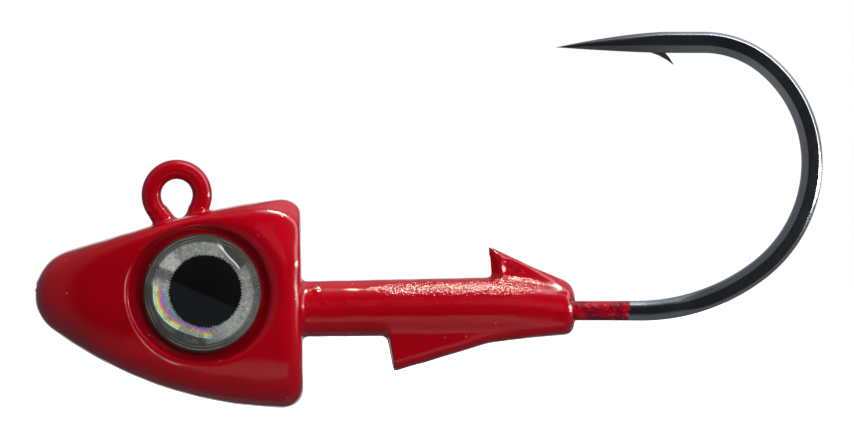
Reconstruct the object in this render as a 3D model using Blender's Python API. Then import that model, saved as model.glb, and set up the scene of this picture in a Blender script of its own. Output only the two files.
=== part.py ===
"""Jig head for soft baits: a lead fish-head cast round a forged hook, with two stick-on resin eyes.

Metres, +Z up. The origin is the centre of the line eye. The nose points along -X, the hook bend
along +X, and the whole part is symmetric about the plane Y = 0.
"""

from math import asin, cos, pi, radians, sin, sqrt, tan

import bpy
from mathutils import Vector

MM = 0.001

# ---- driving dimensions -------------------------------------------------------------------------

# hook wire
WIRE_RADIUS = 0.65 * MM
FORGED_HALF_HEIGHT = 1.12 * WIRE_RADIUS
FORGED_HALF_WIDTH = 0.80 * WIRE_RADIUS
LINE_EYE_HOLE_RADIUS = 1.05 * MM
LINE_EYE_RADIUS = LINE_EYE_HOLE_RADIUS + WIRE_RADIUS
FREE_LEG_SLOPE = radians(50)
FREE_LEG_LENGTH = 0.80 * MM
FREE_LEG_BEND = 1.38 * WIRE_RADIUS
FREE_LEG_END = 0.80 * MM
MAIN_LEG_SLOPE = radians(71)
MAIN_LEG_LENGTH = 1.25 * MM
MAIN_LEG_BEND = 1.50 * MM
RIGHT_ANGLE_BEND = 2.30 * MM
SHANK_DROP = 7.73 * MM
BEND_RADII = (13.20 * MM, 9.05 * MM, 8.45 * MM, 6.55 * MM)
BEND_TURNS = (radians(37), radians(53), radians(50), radians(40))
BARE_SHANK = 4.30 * MM
ARM_LENGTH = 2.40 * MM
POINT_LENGTH = 7.45 * MM
POINT_DROP = 0.33 * MM
POINT_TIP = 0.03 * MM
BARB_LENGTH = 1.55 * MM
BARB_RISE = 0.98 * MM
BARB_FROM_TIP = 6.30 * MM
BARB_HALF_WIDTH = 0.30 * MM

# lead head
HEAD_LENGTH = 17.75 * MM
HEAD_REAR_X = 8.35 * MM
NOSE_X = HEAD_REAR_X - HEAD_LENGTH
LINE_EYE_STAND = 1.61 * MM
NOSE_TOP_RADIUS = 3.13 * MM
CHIN_RADIUS = 2.75 * MM
TOP_SLOPE = radians(16.7)
BROW_LENGTH = 0.43 * HEAD_LENGTH
BACK_RADIUS = 2.82 * HEAD_LENGTH
BELLY_DEPTH = 7.45 * MM
HEAD_HALF_THICKNESS = 4.50 * MM
SIDE_TAPER = tan(radians(4))
NOSE_PLAN_LENGTH = 4.2 * MM
REAR_EDGE_RADIUS = 0.75 * MM
CROWN_SQUARENESS = 6.0
BELLY_SQUARENESS = 2.6

# bait collar with its two keepers
COLLAR_RADIUS = 1.82 * MM
COLLAR_MID_RADIUS = COLLAR_RADIUS + 0.08 * MM
COLLAR_END_RADIUS = COLLAR_RADIUS - 0.24 * MM
COLLAR_DROP = SHANK_DROP - 0.11 * MM
COLLAR_MID_DROP = SHANK_DROP - 0.30 * MM
COLLAR_END_DROP = SHANK_DROP - 0.09 * MM
COLLAR_END_X = HEAD_REAR_X + 18.15 * MM
COLLAR_ROUND = 0.75 * MM
COLLAR_FILLET = 0.35 * MM
UPPER_KEEPER_X = HEAD_REAR_X + 12.70 * MM
UPPER_KEEPER_HEIGHT = COLLAR_RADIUS + 1.96 * MM
UPPER_KEEPER_LEAN = 0.12
UPPER_KEEPER_SLOPE = tan(radians(24))
LOWER_KEEPER_X = HEAD_REAR_X + 5.65 * MM
LOWER_KEEPER_HEIGHT = COLLAR_RADIUS + 2.46 * MM
LOWER_KEEPER_LEAN = -0.20
LOWER_KEEPER_SLOPE = tan(radians(16.6))
LOWER_KEEPER_TAIL = COLLAR_RADIUS + 1.34 * MM
LOWER_TAIL_SLOPE = tan(radians(7.1))
KEEPER_SETBACK = 0.35 * MM
KEEPER_END_HEIGHT = COLLAR_RADIUS - 0.52 * MM
KEEPER_HALF_WIDTH = 0.69 * COLLAR_RADIUS
KEEPER_EDGE_HALF_WIDTH = 0.16 * MM

# eyes and their sockets
DOME_RADIUS = 4.00 * MM
DOME_EDGE = 0.45 * MM
DOME_RISE = 1.45 * MM
FOIL_RADIUS = DOME_RADIUS - 0.15 * MM
FOIL_THICKNESS = 0.12 * MM
ADHESIVE_RADIUS = DOME_RADIUS - 0.30 * MM
ADHESIVE_THICKNESS = 0.30 * MM
PUPIL_RADIUS = 0.60 * DOME_RADIUS
PUPIL_THICKNESS = 0.06 * MM
SOCKET_X = 1.52 * MM
SOCKET_RISE = 0.06 * MM
SOCKET_DEPTH = 0.97 * MM
SOCKET_WALL = 0.45 * MM
SOCKET_LIP_RADIUS = 0.60 * MM
SOCKET_LIP_TURN = radians(78)
EYE_SHIFT_X = 0.23 * MM
EYE_SHIFT_UP = 0.14 * MM

# fits
WIRE_CLEARANCE = 0.05 * MM
STACK_GAP = 0.05 * MM
EYE_CLEARANCE = 0.35 * MM

# how finely round shapes are cut
WIRE_SIDES = 20
COLLAR_SIDES = 32
HEAD_SIDES = 48
DISC_SIDES = 48

# ---- helpers ------------------------------------------------------------------------------------


def material(name, colour, roughness, metallic=0.0):
    mat = bpy.data.materials.new(name)
    mat.use_nodes = True
    shader = mat.node_tree.nodes["Principled BSDF"]
    shader.inputs["Base Color"].default_value = (*colour, 1.0)
    shader.inputs["Roughness"].default_value = roughness
    shader.inputs["Metallic"].default_value = metallic
    mat.diffuse_color = (*colour, 1.0)
    return mat


def add_object(name, verts, faces, mat=None, sharp=35):
    mesh = bpy.data.meshes.new(name)
    mesh.from_pydata([tuple(v) for v in verts], [], faces)
    mesh.validate()
    if mat:
        mesh.materials.append(mat)
    mesh.shade_smooth()
    mesh.set_sharp_from_angle(angle=radians(sharp))
    obj = bpy.data.objects.new(name, mesh)
    bpy.context.scene.collection.objects.link(obj)
    return obj


def loft(rings):
    """Skin rings of equal size, listed along the axis, each turning clockwise as seen from the start."""
    count = len(rings[0])
    verts = [v for ring in rings for v in ring]
    faces = [tuple(range(count - 1, -1, -1))]
    for i in range(len(rings) - 1):
        low = i * count
        high = low + count
        for k in range(count):
            n = (k + 1) % count
            faces.append((low + k, low + n, high + n, high + k))
    last = (len(rings) - 1) * count
    faces.append(tuple(range(last, last + count)))
    return verts, faces


def combine(target, tool, operation):
    """Cut one body out of another, or join the two into one skin; the second is used up."""
    step = target.modifiers.new(tool.name, "BOOLEAN")
    step.operation = operation
    step.solver = "EXACT"
    step.object = tool
    tool.hide_render = True
    tool.display_type = "WIRE"


def mirrored(verts, faces, side):
    """Turn a shape built for +Y to the side asked for, keeping its faces outward."""
    if side > 0:
        return verts, faces
    return [(x, -y, z) for x, y, z in verts], [tuple(reversed(face)) for face in faces]


class Walk:
    """A flat path in the hook plane, made of straight lines and arcs that run on from each other."""

    def __init__(self, x, z, heading):
        self.x = x
        self.z = z
        self.heading = heading
        self.points = [(x, z)]
        self.length = 0.0

    def step(self, distance, heading):
        self.x += distance * cos(heading)
        self.z += distance * sin(heading)
        self.points.append((self.x, self.z))

    def line(self, length, pieces=1):
        for _ in range(pieces):
            self.step(length / pieces, self.heading)
        return self

    def arc(self, radius, turn, pitch=radians(10)):
        """Turn left by a positive angle, or right by a negative one."""
        count = max(2, round(abs(turn) / pitch))
        part = turn / count
        chord = 2 * radius * sin(abs(part) / 2)
        for _ in range(count):
            self.step(chord, self.heading + part / 2)
            self.heading += part
        return self


def tube(points, half_heights, half_widths):
    """Sweep a round wire along a flat path; a half width under the half height flattens its sides."""
    rings = []
    for i, (x, z) in enumerate(points):
        before = points[max(i - 1, 0)]
        after = points[min(i + 1, len(points) - 1)]
        along = Vector((after[0] - before[0], after[1] - before[1])).normalized()
        ring = []
        for k in range(WIRE_SIDES):
            angle = 2 * pi * (k + 0.5) / WIRE_SIDES
            across = half_heights[i] * sin(angle)
            side = max(-half_widths[i], min(half_widths[i], half_heights[i] * cos(angle)))
            ring.append((x - along.y * across, side, z + along.x * across))
        rings.append(ring)
    return loft(rings)


def blend(value, start, end):
    share = max(0.0, min(1.0, (value - start) / (end - start)))
    return share * share * (3 - 2 * share)


def lathe(profile, centre_x, centre_z, sides=DISC_SIDES):
    """Turn an open profile of (radius, y) about an axis along +Y; it starts and ends on the axis."""
    rings = []
    for radius, y in profile[1:-1]:
        ring = []
        for k in range(sides):
            angle = 2 * pi * k / sides
            ring.append((centre_x + radius * cos(angle), y, centre_z - radius * sin(angle)))
        rings.append(ring)
    return loft(rings)


# ---- hook ---------------------------------------------------------------------------------------

# the line eye is a full turn of the wire round the origin, closed by a short free leg
LOOP_START = radians(270) - FREE_LEG_SLOPE
LOOP_END = radians(90) - (pi - MAIN_LEG_SLOPE)


def free_leg(extra=0.0):
    """From the start of the loop down into the head, ending in the lead."""
    walk = Walk(LINE_EYE_RADIUS * cos(LOOP_START), LINE_EYE_RADIUS * sin(LOOP_START), -FREE_LEG_SLOPE)
    walk.line(FREE_LEG_LENGTH)
    walk.arc(FREE_LEG_BEND, FREE_LEG_SLOPE - radians(90))
    return walk.line(FREE_LEG_END + extra)


def main_leg(start_x, start_z):
    """From the end of the loop down through the head, round the right angle and along the shank."""
    walk = Walk(start_x, start_z, MAIN_LEG_SLOPE - pi)
    walk.line(MAIN_LEG_LENGTH)
    walk.arc(MAIN_LEG_BEND, radians(90) - MAIN_LEG_SLOPE)
    walk.line(walk.z + SHANK_DROP - RIGHT_ANGLE_BEND, pieces=3)
    walk.arc(RIGHT_ANGLE_BEND, radians(90), pitch=radians(9))
    return walk


def hook_path():
    leg = free_leg()
    walk = Walk(leg.points[0][0], leg.points[0][1], pi - FREE_LEG_SLOPE)
    walk.points = list(reversed(leg.points))
    walk.arc(LINE_EYE_RADIUS, LOOP_END - LOOP_START, pitch=radians(11))
    shank = main_leg(walk.x, walk.z)
    shank.line(COLLAR_END_X + BARE_SHANK - shank.x, pieces=14)
    for radius, turn in zip(BEND_RADII, BEND_TURNS):
        shank.arc(radius, turn, pitch=radians(5))
    shank.line(ARM_LENGTH, pieces=2)
    return walk.points + shank.points[1:]


def hook_sections(points):
    """Round wire up to the shank, forged flat-sided in the bend, ground to a needle at the point."""
    heights = []
    widths = []
    for x, z in points:
        forged = blend(x, COLLAR_END_X, COLLAR_END_X + BARE_SHANK + BEND_RADII[0] * sin(BEND_TURNS[0]))
        if z > 0 and x > COLLAR_END_X:
            forged = 1.0
        heights.append(WIRE_RADIUS + (FORGED_HALF_HEIGHT - WIRE_RADIUS) * forged)
        widths.append(WIRE_RADIUS + (FORGED_HALF_WIDTH - WIRE_RADIUS) * forged)
    arm_x, arm_z = points[-1]
    stations = 12
    for i in range(1, stations + 1):
        left = (1 - i / stations) ** 1.6
        share = 1 - (1 - left) ** 1.5
        points.append((arm_x - POINT_LENGTH * (1 - left), arm_z - POINT_DROP * (1 - left) ** 1.6))
        heights.append(max(POINT_TIP, FORGED_HALF_HEIGHT * share))
        widths.append(max(POINT_TIP, FORGED_HALF_WIDTH * min(1.0, 1.25 * share)))
    return points, heights, widths


def barb(tip_x, arm_z):
    """A sliver raised from the inner side of the arm, swept back from the point."""
    root_x = tip_x + BARB_FROM_TIP
    front = [(root_x - 0.6 * BARB_LENGTH, arm_z - 0.45 * MM), (root_x, arm_z - 0.76 * FORGED_HALF_HEIGHT)]
    front.append((root_x + 0.55 * BARB_LENGTH, arm_z - FORGED_HALF_HEIGHT - 0.33 * BARB_RISE))
    front.append((root_x + BARB_LENGTH, arm_z - FORGED_HALF_HEIGHT - 0.80 * BARB_RISE))
    back = [(root_x + 0.1 * BARB_LENGTH, arm_z), (root_x + 0.55 * BARB_LENGTH, arm_z - 0.2 * MM)]
    back.append((root_x + 0.78 * BARB_LENGTH, arm_z - FORGED_HALF_HEIGHT - 0.20 * BARB_RISE))
    back.append((front[-1][0] + 0.04 * MM, front[-1][1] + 0.06 * MM))
    rings = []
    for i, (low, high) in enumerate(zip(front, back)):
        width = BARB_HALF_WIDTH * (1 - 0.85 * (i / 3) ** 1.5)
        ring = [(high[0], -width, high[1]), (high[0], width, high[1])]
        ring += [(low[0], 0.5 * width, low[1]), (low[0], -0.5 * width, low[1])]
        rings.append(ring)
    return loft(rings)


# ---- head ---------------------------------------------------------------------------------------


def head_top(x):
    """Height of the back of the head above the nose: a round nose, a straight brow, a long arc."""
    along = x - NOSE_X
    brow_start = NOSE_TOP_RADIUS * (1 - sin(TOP_SLOPE))
    if along < brow_start:
        return sqrt(max(0.0, NOSE_TOP_RADIUS**2 - (NOSE_TOP_RADIUS - along) ** 2))
    height = NOSE_TOP_RADIUS * cos(TOP_SLOPE) + (min(along, BROW_LENGTH) - brow_start) * tan(TOP_SLOPE)
    if along > BROW_LENGTH:
        ahead = BACK_RADIUS * sin(TOP_SLOPE) - (along - BROW_LENGTH)
        height += sqrt(BACK_RADIUS**2 - ahead**2) - BACK_RADIUS * cos(TOP_SLOPE)
    return height


# the head hangs so that the line eye always stands the same height out of its back
NOSE_DROP = head_top(0.0) + LINE_EYE_STAND


def head_belly(x):
    """Depth of the belly under the nose: a round chin that runs smoothly into one long arc."""
    along = x - NOSE_X
    low_point = HEAD_LENGTH - REAR_EDGE_RADIUS
    reach = low_point - CHIN_RADIUS
    arc = (reach**2 + BELLY_DEPTH**2 - CHIN_RADIUS**2) / (2 * (BELLY_DEPTH - CHIN_RADIUS))
    touch = CHIN_RADIUS - CHIN_RADIUS * reach / (arc - CHIN_RADIUS)
    if along < touch:
        return sqrt(max(0.0, CHIN_RADIUS**2 - (CHIN_RADIUS - along) ** 2))
    return sqrt(arc**2 - max(0.0, low_point - along) ** 2) - arc + BELLY_DEPTH


def head_half_thickness(x):
    along = x - NOSE_X
    plan = sqrt(1 - (1 - min(1.0, along / NOSE_PLAN_LENGTH)) ** 2)
    return (HEAD_HALF_THICKNESS - (HEAD_REAR_X - x) * SIDE_TAPER) * plan


def head_ring(x, inset):
    ring = []
    wide = head_half_thickness(x) - inset
    for k in range(HEAD_SIDES):
        angle = 2 * pi * (k + 0.5) / HEAD_SIDES
        up = sin(angle)
        out = cos(angle)
        tall = head_top(x) - inset if up > 0 else head_belly(x) - inset
        square = CROWN_SQUARENESS if up > 0 else BELLY_SQUARENESS
        z = -NOSE_DROP + tall * up
        y = wide * (1 - abs(up) ** square) ** (1 / square) * (1 if out > 0 else -1)
        ring.append((x, y, z))
    return ring


def head_body():
    rings = []
    for i in range(1, 9):
        share = 1 - cos(radians(90) * i / 8)
        rings.append(head_ring(NOSE_X + NOSE_PLAN_LENGTH * max(share, 0.004), 0.0))
    plain_end = HEAD_REAR_X - REAR_EDGE_RADIUS
    start = NOSE_X + NOSE_PLAN_LENGTH
    for i in range(1, 10):
        rings.append(head_ring(start + (plain_end - start) * i / 9, 0.0))
    for i in range(1, 6):
        angle = radians(90) * i / 5
        x = plain_end + REAR_EDGE_RADIUS * sin(angle)
        rings.append(head_ring(x, REAR_EDGE_RADIUS * (1 - cos(angle))))
    return loft(rings)


def along_collar(x, at_head, at_middle, at_end):
    """The collar swells a little up to its upper keeper and draws in behind it."""
    swell = (min(x, UPPER_KEEPER_X) - HEAD_REAR_X) / (UPPER_KEEPER_X - HEAD_REAR_X)
    draw_in = blend(x, UPPER_KEEPER_X, COLLAR_END_X)
    return at_head + (at_middle - at_head) * swell + (at_end - at_middle) * draw_in


def collar_radius(x):
    radius = along_collar(x, COLLAR_RADIUS, COLLAR_MID_RADIUS, COLLAR_END_RADIUS)
    past_head = x - HEAD_REAR_X
    if past_head < COLLAR_FILLET:
        edge = COLLAR_FILLET - max(past_head, 0.0)
        radius += COLLAR_FILLET - sqrt(COLLAR_FILLET**2 - edge**2)
    to_end = COLLAR_END_X - x
    if to_end < COLLAR_ROUND:
        radius -= COLLAR_ROUND - sqrt(max(0.0, COLLAR_ROUND**2 - (COLLAR_ROUND - to_end) ** 2))
    return radius


def collar_drop(x):
    return along_collar(x, COLLAR_DROP, COLLAR_MID_DROP, COLLAR_END_DROP)


def collar_body():
    stations = [HEAD_REAR_X - 1.0 * MM]
    for i in range(5):
        stations.append(HEAD_REAR_X + COLLAR_FILLET * (1 - cos(radians(90) * i / 4)))
    plain_end = COLLAR_END_X - COLLAR_ROUND
    stations.append(UPPER_KEEPER_X)
    for i in range(1, 6):
        stations.append(UPPER_KEEPER_X + (plain_end - UPPER_KEEPER_X) * i / 5)
    for i in range(1, 6):
        stations.append(plain_end + COLLAR_ROUND * sin(radians(90) * i / 5))
    rings = []
    for x in stations:
        radius = collar_radius(x)
        ring = []
        for k in range(COLLAR_SIDES):
            angle = 2 * pi * (k + 0.5) / COLLAR_SIDES
            ring.append((x, radius * cos(angle), radius * sin(angle) - collar_drop(x)))
        rings.append(ring)
    return loft(rings)


def keeper(front_x, height, lean, slope, up, bulge, tail=0.0, tail_slope=0.0):
    """A bait keeper: a steep front face, a ridge that falls back to the collar, sides that close to it."""
    rings = []
    count = 8
    root = 0.5 * COLLAR_RADIUS
    length = COLLAR_END_X - KEEPER_SETBACK - front_x
    for i in range(count + 1):
        along = length * i / count
        ridge = max(height - along * slope, tail - along * tail_slope)
        if i == count:
            ridge = KEEPER_END_HEIGHT
        side = []
        for j in range(9):
            share = j / 8
            rise = root + (ridge - root) * share
            fade = KEEPER_HALF_WIDTH - (KEEPER_HALF_WIDTH - KEEPER_EDGE_HALF_WIDTH) * share**bulge
            x = front_x + along - lean * (rise - COLLAR_RADIUS) * (1 - i / count)
            side.append((x, fade, up * rise - collar_drop(front_x)))
        ring = side + [(x, -y, z) for x, y, z in reversed(side)]
        if up < 0:
            ring.reverse()
        rings.append(ring)
    return loft(rings)


# ---- eyes ---------------------------------------------------------------------------------------


EYE_Z = SOCKET_RISE + EYE_SHIFT_UP - NOSE_DROP


def socket_floor():
    """Distance of the socket's flat floor from the middle plane."""
    return head_half_thickness(SOCKET_X) - SOCKET_DEPTH


def socket_cutter(side):
    """A flat-floored round recess whose lip opens out in a soft round."""
    floor = socket_floor()
    floor_radius = DOME_RADIUS + EYE_CLEARANCE
    wall_radius = floor_radius + 0.05 * MM
    lip_y = floor + SOCKET_WALL
    profile = [(0.0, floor), (floor_radius, floor), (wall_radius, lip_y)]
    for i in range(1, 6):
        angle = SOCKET_LIP_TURN * i / 5
        radius = wall_radius + SOCKET_LIP_RADIUS * (1 - cos(angle))
        profile.append((radius, lip_y + SOCKET_LIP_RADIUS * sin(angle)))
    beyond = HEAD_HALF_THICKNESS + SOCKET_LIP_RADIUS - profile[-1][1]
    profile.append((profile[-1][0] + beyond * tan(SOCKET_LIP_TURN), profile[-1][1] + beyond))
    profile.append((0.0, profile[-1][1]))
    verts, faces = lathe(profile, SOCKET_X, SOCKET_RISE - NOSE_DROP)
    return mirrored(verts, faces, side)


def disc(radius, low, thickness, side, sides=DISC_SIDES):
    profile = [(0.0, low), (radius, low), (radius, low + thickness), (0.0, low + thickness)]
    verts, faces = lathe(profile, SOCKET_X + EYE_SHIFT_X, EYE_Z, sides)
    return mirrored(verts, faces, side)


def dome(low, side):
    ball = (DOME_RADIUS**2 + DOME_RISE**2) / (2 * DOME_RISE)
    spread = asin(DOME_RADIUS / ball)
    top = low + DOME_EDGE
    profile = [(0.0, low), (DOME_RADIUS, low), (DOME_RADIUS, top)]
    for i in range(1, 9):
        angle = spread * (1 - i / 9)
        profile.append((ball * sin(angle), top + ball * cos(angle) - ball * cos(spread)))
    profile.append((0.05 * MM, top + DOME_RISE))
    profile.append((0.0, top + DOME_RISE))
    verts, faces = lathe(profile, SOCKET_X + EYE_SHIFT_X, EYE_Z)
    return mirrored(verts, faces, side)


# ---- assembly -----------------------------------------------------------------------------------


def build_hook(mat):
    points, heights, widths = hook_sections(hook_path())
    tip_x = points[-1][0]
    arm_z = points[-13][1]
    hook = add_object("hook", *tube(points, heights, widths), mat)
    combine(hook, add_object("barb_blank", *barb(tip_x, arm_z)), "UNION")
    return hook


def wire_channels():
    """The room the cast-in wire takes in the lead, open at the back of the head and the collar end."""
    radius = WIRE_RADIUS + WIRE_CLEARANCE
    free = free_leg(extra=WIRE_CLEARANCE).points
    start = (LINE_EYE_RADIUS * cos(LOOP_END), LINE_EYE_RADIUS * sin(LOOP_END))
    main = main_leg(*start)
    main.line(COLLAR_END_X + 0.5 * MM - main.x, pieces=10)
    blanks = []
    for name, points in (("free_leg_room", free), ("main_leg_room", main.points)):
        blanks.append(add_object(name, *tube(points, [radius] * len(points), [radius] * len(points))))
    return blanks


def build_head(mat):
    head = add_object("head_casting", *head_body(), mat)
    combine(head, add_object("collar_blank", *collar_body()), "UNION")
    upper = keeper(UPPER_KEEPER_X, UPPER_KEEPER_HEIGHT, UPPER_KEEPER_LEAN, UPPER_KEEPER_SLOPE, 1, 0.8)
    lower = keeper(
        LOWER_KEEPER_X,
        LOWER_KEEPER_HEIGHT,
        LOWER_KEEPER_LEAN,
        LOWER_KEEPER_SLOPE,
        -1,
        2.6,
        LOWER_KEEPER_TAIL,
        LOWER_TAIL_SLOPE,
    )
    combine(head, add_object("upper_keeper_blank", *upper), "UNION")
    combine(head, add_object("lower_keeper_blank", *lower), "UNION")
    for side, word in ((-1, "left"), (1, "right")):
        combine(head, add_object(word + "_socket_room", *socket_cutter(side)), "DIFFERENCE")
    for blank in wire_channels():
        combine(head, blank, "DIFFERENCE")
    return head


def build_eyes(adhesive_mat, foil_mat, pupil_mat, dome_mat):
    adhesive_low = socket_floor() + STACK_GAP
    foil_low = adhesive_low + ADHESIVE_THICKNESS + STACK_GAP
    pupil_low = foil_low + FOIL_THICKNESS + STACK_GAP
    dome_low = pupil_low + PUPIL_THICKNESS + STACK_GAP
    for side, word in ((-1, "left"), (1, "right")):
        glue = disc(ADHESIVE_RADIUS, adhesive_low, ADHESIVE_THICKNESS, side)
        add_object(word + "_eye_adhesive", *glue, adhesive_mat)
        add_object(word + "_eye_foil", *disc(FOIL_RADIUS, foil_low, FOIL_THICKNESS, side), foil_mat)
        add_object(word + "_eye_pupil", *disc(PUPIL_RADIUS, pupil_low, PUPIL_THICKNESS, side), pupil_mat)
        add_object(word + "_eye_dome", *dome(dome_low, side), dome_mat)


for old in list(bpy.data.objects):
    bpy.data.objects.remove(old, do_unlink=True)

red_paint = material("red_paint", (0.42, 0.01, 0.02), 0.2)
black_nickel = material("black_nickel", (0.035, 0.036, 0.04), 0.28, 1.0)
foam = material("white_foam_adhesive", (0.75, 0.74, 0.70), 0.8)
holographic_foil = material("silver_foil", (0.70, 0.72, 0.75), 0.25, 1.0)
black_ink = material("black_ink", (0.01, 0.01, 0.012), 0.35)
clear_resin = material("clear_resin", (0.75, 0.78, 0.78), 0.05)

build_hook(black_nickel)
build_head(red_paint)
build_eyes(foam, holographic_foil, black_ink, clear_resin)
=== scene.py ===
from math import cos, pi, radians, sin, sqrt, tan

import bpy
import numpy as np
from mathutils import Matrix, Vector


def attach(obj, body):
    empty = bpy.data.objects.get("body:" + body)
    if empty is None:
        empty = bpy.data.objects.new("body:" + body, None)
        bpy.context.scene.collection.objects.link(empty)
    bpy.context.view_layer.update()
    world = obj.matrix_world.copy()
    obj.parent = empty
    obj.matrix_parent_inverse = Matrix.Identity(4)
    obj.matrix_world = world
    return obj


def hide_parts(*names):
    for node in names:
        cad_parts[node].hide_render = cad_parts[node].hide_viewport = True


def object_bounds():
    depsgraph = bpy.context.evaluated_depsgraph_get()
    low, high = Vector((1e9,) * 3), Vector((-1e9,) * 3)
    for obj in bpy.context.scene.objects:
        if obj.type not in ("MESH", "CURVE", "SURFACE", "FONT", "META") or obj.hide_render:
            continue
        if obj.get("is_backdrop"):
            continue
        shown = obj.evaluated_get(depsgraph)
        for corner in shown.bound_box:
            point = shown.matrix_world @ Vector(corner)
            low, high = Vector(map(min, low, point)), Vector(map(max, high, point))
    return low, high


mm = 0.001

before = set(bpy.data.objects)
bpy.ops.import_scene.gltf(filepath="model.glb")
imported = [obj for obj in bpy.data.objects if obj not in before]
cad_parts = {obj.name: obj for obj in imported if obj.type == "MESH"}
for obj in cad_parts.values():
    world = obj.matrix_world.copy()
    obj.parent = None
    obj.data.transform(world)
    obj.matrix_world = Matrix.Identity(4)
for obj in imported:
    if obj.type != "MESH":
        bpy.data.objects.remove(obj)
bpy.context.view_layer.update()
print("frame loaded:", len(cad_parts), "nodes")


def mathsPair(operation):
    # the two methods of one operator: value with other, and other with value
    def straight(self, other):
        return self.graph.node("ShaderNodeMath", {"operation": operation}, {0: self, 1: other})

    def reflected(self, other):
        return self.graph.node("ShaderNodeMath", {"operation": operation}, {0: other, 1: self})

    return straight, reflected


class Value:
    # a socket that adds its own Math node for each sum written with it
    def __init__(self, graph, socket):
        self.graph = graph
        self.socket = socket

    __add__, __radd__ = mathsPair("ADD")
    __sub__, __rsub__ = mathsPair("SUBTRACT")
    __mul__, __rmul__ = mathsPair("MULTIPLY")
    __truediv__, __rtruediv__ = mathsPair("DIVIDE")
    __pow__, __rpow__ = mathsPair("POWER")

    def maths(self, operation, *others):
        return self.graph.node("ShaderNodeMath", {"operation": operation}, dict(enumerate((self, *others))))

    def clamp(self):
        return self.graph.node("ShaderNodeClamp", {}, {0: self})

    def rise(self, low, high):
        # 0 below low, 1 above high, smooth between; low may be the larger
        settings = {"interpolation_type": "SMOOTHSTEP"}
        return self.graph.node("ShaderNodeMapRange", settings, {0: self, 1: low, 2: high})

    def within(self, start, full, fullEnd, end):
        # 1 from full to fullEnd, smooth down to 0 at start and at end
        return self.rise(start, full) * self.rise(end, fullEnd)


class Graph:
    def __init__(self, tree):
        self.tree = tree
        tree.nodes.clear()

    def node(self, kind, settings=None, inputs=None, out=0):
        made = self.tree.nodes.new(kind)
        for key, value in (settings or {}).items():
            if key == "stops":
                self.fillRamp(made.color_ramp, value)
            else:
                setattr(made, key, value)
        for key, value in (inputs or {}).items():
            socket = made.inputs[key]
            if isinstance(value, Value):
                self.tree.links.new(value.socket, socket)
            else:
                socket.default_value = value
        return Value(self, made.outputs[out]) if len(made.outputs) else made

    def fillRamp(self, ramp, stops):
        while len(ramp.elements) > 1:
            ramp.elements.remove(ramp.elements[-1])
        ramp.elements[0].position = stops[0][0]
        ramp.elements[0].color = (*stops[0][1], 1)
        for place, colour in stops[1:]:
            ramp.elements.new(place).color = (*colour, 1)

    def noise(self, where, scale, detail=2.0, rough=0.5, out="Fac"):
        inputs = {"Vector": where, "Scale": scale, "Detail": detail, "Roughness": rough}
        return self.node("ShaderNodeTexNoise", {}, inputs, out)

    def mix(self, share, first, second):
        return self.node("ShaderNodeMix", {"data_type": "RGBA"}, {0: share, 6: first, 7: second}, 2)

    def bump(self, height, distance, strength=1.0):
        inputs = {"Strength": strength, "Distance": distance, "Height": height}
        return self.node("ShaderNodeBump", {}, inputs)

    def blendShaders(self, share, first, second):
        return self.node("ShaderNodeMixShader", {}, {0: share, 1: first, 2: second})

    def parts(self, where):
        made = self.node("ShaderNodeSeparateXYZ", {}, {0: where})
        return [Value(self, socket) for socket in made.socket.node.outputs]

    def finish(self, shader):
        out = self.tree.nodes.new("ShaderNodeOutputMaterial")
        self.tree.links.new(shader.socket, out.inputs[0])


def newMaterial(name):
    made = bpy.data.materials.new(name)
    made.use_nodes = True
    return made, Graph(made.node_tree)


def objectPlace(g):
    return g.node("ShaderNodeTexCoord", {}, {}, "Object")


lacquer = {
    "deep": (0.365, 0.0006, 0.0062, 1),
    "thin": (0.435, 0.0010, 0.0090, 1),
    # this darker tone also serves as painted shade on the cheek and the wire loop
    "thickTintAndShade": (0.290, 0.0004, 0.0050, 1),
    # pale: a painted highlight on the socket's lip, and the colour of the dust specks
    "paleDustAndLipHighlight": (0.80, 0.33, 0.30, 1),
    # painted shade in the socket
    "socketShade": (0.105, 0.0003, 0.0020, 1),
    "clotted": (0.130, 0.0020, 0.0120, 1),
    "roughness": 0.10,
    "peelScale": 900.0,
    "peelHeight": 0.00001,
    "dustScale": 1000.0,
    # each area runs start, full, fullEnd, end, in metres along X or Z
    "cheekX": (-0.0082, -0.0062, 0.0005, 0.0050),
    "cheekZ": (-0.0104, -0.0088, -0.0032, -0.0018),
    "dryX": (0.0120, 0.0150, 0.0225, 0.0252),
    "dryZ": (-0.0071, -0.0066, -0.0057, -0.0052),
    "lipRadius": 0.00490,
    "lipGlintX": -0.00035,
}


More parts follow.
